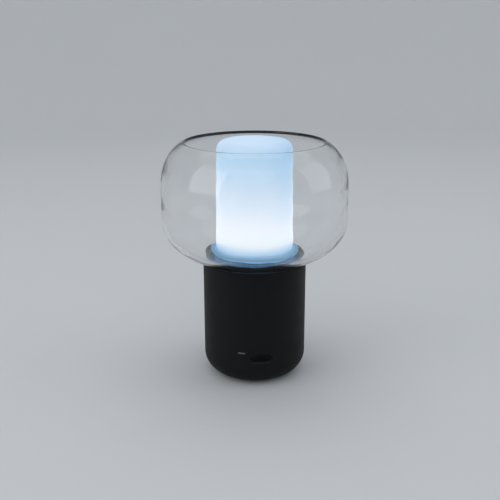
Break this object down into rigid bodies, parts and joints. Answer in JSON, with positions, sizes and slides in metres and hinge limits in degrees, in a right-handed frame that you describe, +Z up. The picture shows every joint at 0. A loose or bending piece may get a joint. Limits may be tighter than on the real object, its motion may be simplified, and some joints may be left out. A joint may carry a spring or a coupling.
{
  "type": "smart table lamp",
  "caption": "Rechargeable table lamp with a black cylindrical base, an open-topped clear glass shade and a glowing opal diffuser",
  "frame": {"origin": "on the table, under the lamp's axis, at the foot ring's underside", "axes": "+Z up the lamp's axis; -Y towards the front, where the button is; +Y towards the charging port; +X to the right seen from the front"},
  "size_m": [0.178, 0.178, 0.2315],
  "materials": {
    "clear_glass": "clear blown glass, faintly grey, polished, slightly wavy",
    "opal_plastic": "opal white diffuser, satin, lit blue-white from below",
    "black_shell": "fine matt soft-touch",
    "black_plastic": "matt moulded",
    "silicone": "matt",
    "milky_silicone": "translucent, satin, lit by the diffuser",
    "white_plastic": "matt moulded",
    "aluminium": "satin",
    "steel": "zinc plated",
    "nickel": "nickel plated",
    "green_board": "solder mask, satin",
    "white_board": "white solder mask",
    "cell_wrap": "heat-shrink sleeve",
    "black_epoxy": "moulded epoxy",
    "phosphor": "yellow phosphor gel",
    "light_pipe": "translucent, satin",
    "red_lead": "soft insulation"
  },
  "bodies": {
    "base": {"housing_shell": "black_shell", "foot_ring": "silicone", "bottom_cover": "black_plastic", "ballast_plate": "steel", "lower_cradle": "black_plastic", "upper_cradle": "black_plastic", "top_deck": "black_plastic", "seat_gasket": "silicone", "retention_ring": "silicone", "reflector_cone": "white_plastic", "battery_socket": "white_plastic", "led_socket": "white_plastic", "heat_sink": "aluminium", "capacitor_1": "aluminium", "capacitor_2": "aluminium", "cover_screw_1": "steel", "cover_screw_2": "steel", "cover_screw_3": "steel", "deck_screw_1": "steel", "deck_screw_2": "steel", "deck_screw_3": "steel", "cradle_screw_1": "steel", "cradle_screw_2": "steel", "board_screw_1": "steel", "board_screw_2": "steel", "led_board_screw_1": "steel", "led_board_screw_2": "steel", "series_link": "nickel", "pole_link_1": "nickel", "pole_link_2": "nickel", "usb_port": "nickel", "radio_module": "nickel", "control_board": "green_board", "button_board": "green_board", "port_board": "green_board", "led_board": "white_board", "battery_cell_1": "cell_wrap", "battery_cell_2": "cell_wrap", "battery_cell_3": "cell_wrap", "battery_cell_4": "cell_wrap", "controller_chip": "black_epoxy", "charge_coil": "black_epoxy", "tact_switch": "black_epoxy", "led_1": "phosphor", "led_2": "phosphor", "led_3": "phosphor", "led_4": "phosphor", "led_5": "phosphor", "led_6": "phosphor", "led_7": "phosphor", "led_8": "phosphor", "status_light_pipe": "light_pipe", "battery_lead": "red_lead", "led_lead": "red_lead"},
    "shade": {"glass_shade": "clear_glass", "shade_grommet": "milky_silicone"},
    "diffuser": {"opal_diffuser": "opal_plastic"},
    "button": {"control_button": "black_plastic", "switch_plunger": "white_plastic"}
  },
  "joints": [
    {"name": "shade_lift", "type": "slide", "parent": "base", "child": "shade", "axis": [0, 0, 1], "range_m": [0, 0.06]},
    {"name": "diffuser_lift", "type": "slide", "parent": "shade", "child": "diffuser", "axis": [0, 0, 1], "range_m": [0, 0.125]},
    {"name": "button_press", "type": "slide", "parent": "base", "child": "button", "axis": [0, 1, 0], "range_m": [0, 0.0008], "stiffness_N_per_m": 800, "springref_m": -0.0005}
  ]
}
